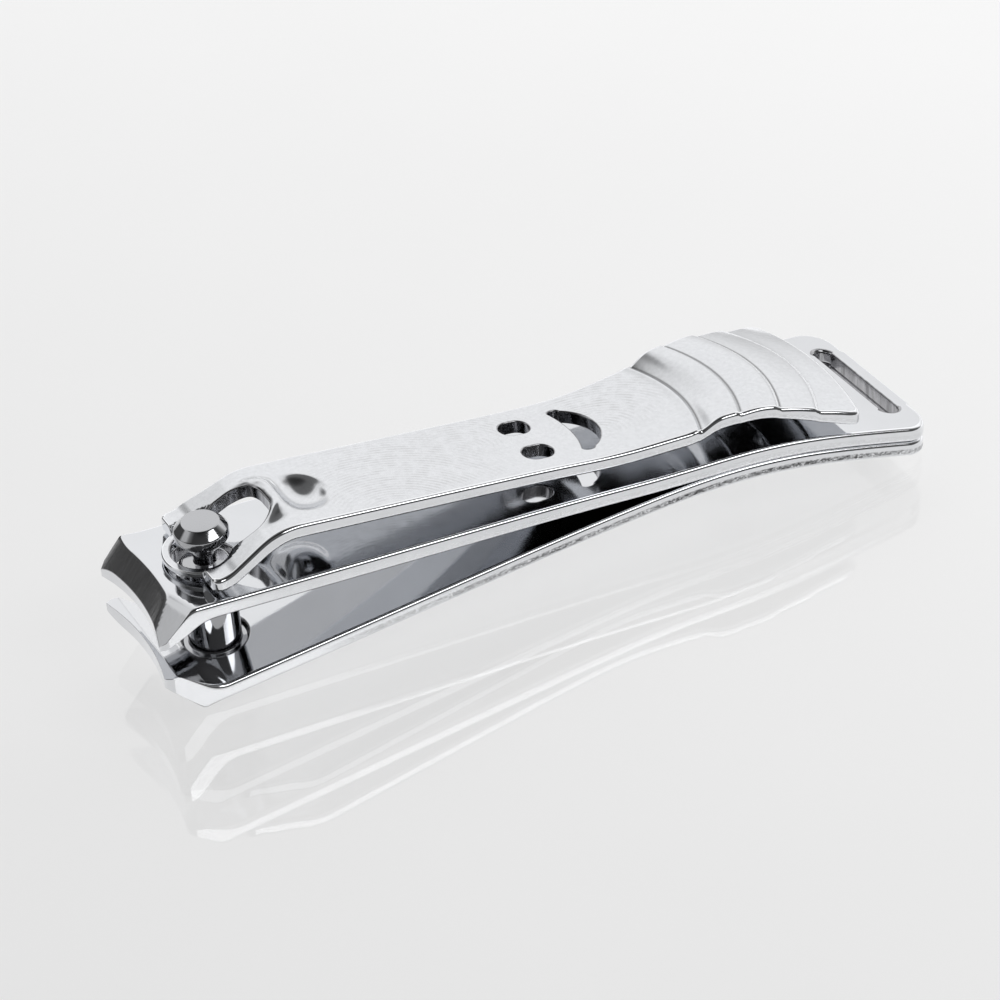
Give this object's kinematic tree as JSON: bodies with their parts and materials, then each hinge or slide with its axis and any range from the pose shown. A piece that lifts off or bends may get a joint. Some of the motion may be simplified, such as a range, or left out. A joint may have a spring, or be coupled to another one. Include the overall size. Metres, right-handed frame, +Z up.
{
  "type": "nail clipper",
  "caption": "Lever-type toenail clipper in plated steel with two sprung jaw arms, a headed post, a flip-over lever with a raised fulcrum and grip grooves, and a key ring slot.",
  "frame": {"origin": "centre of the bounding box at table height, with the clipper resting on its lower arm, jaws open and the lever folded", "axes": "+X from the jaws to the tail, +Z up, +Y across the arms"},
  "size_m": [0.08, 0.02, 0.0155],
  "materials": {
    "arm_steel": "polished nickel plate",
    "pin_steel": "polished plate, turned",
    "lever_steel": "polished plate with a soft satin top"
  },
  "bodies": {
    "frame": {"lower_arm": "arm_steel", "upper_arm_heel": "arm_steel", "tail_rivet": "pin_steel"},
    "upper_jaw": {"upper_arm": "arm_steel"},
    "post": {"post": "pin_steel"},
    "lever": {"lever": "lever_steel"}
  },
  "joints": [
    {"name": "jaw_squeeze", "type": "hinge", "parent": "frame", "child": "upper_jaw", "pos_m": [0.015, 0, 0.00513], "axis": [0, -1, 0], "range_deg": [0, 3.4], "stiffness_Nm_per_rad": 8},
    {"name": "post_spin", "type": "hinge", "parent": "frame", "child": "post", "pos_m": [-0.0324, 0, 0], "axis": [0, 0, 1], "continuous": true},
    {"name": "lever_tilt", "type": "hinge", "parent": "post", "child": "lever", "pos_m": [-0.0358, 0, 0.01172], "axis": [0, -1, 0], "range_deg": [0, 168]}
  ]
}
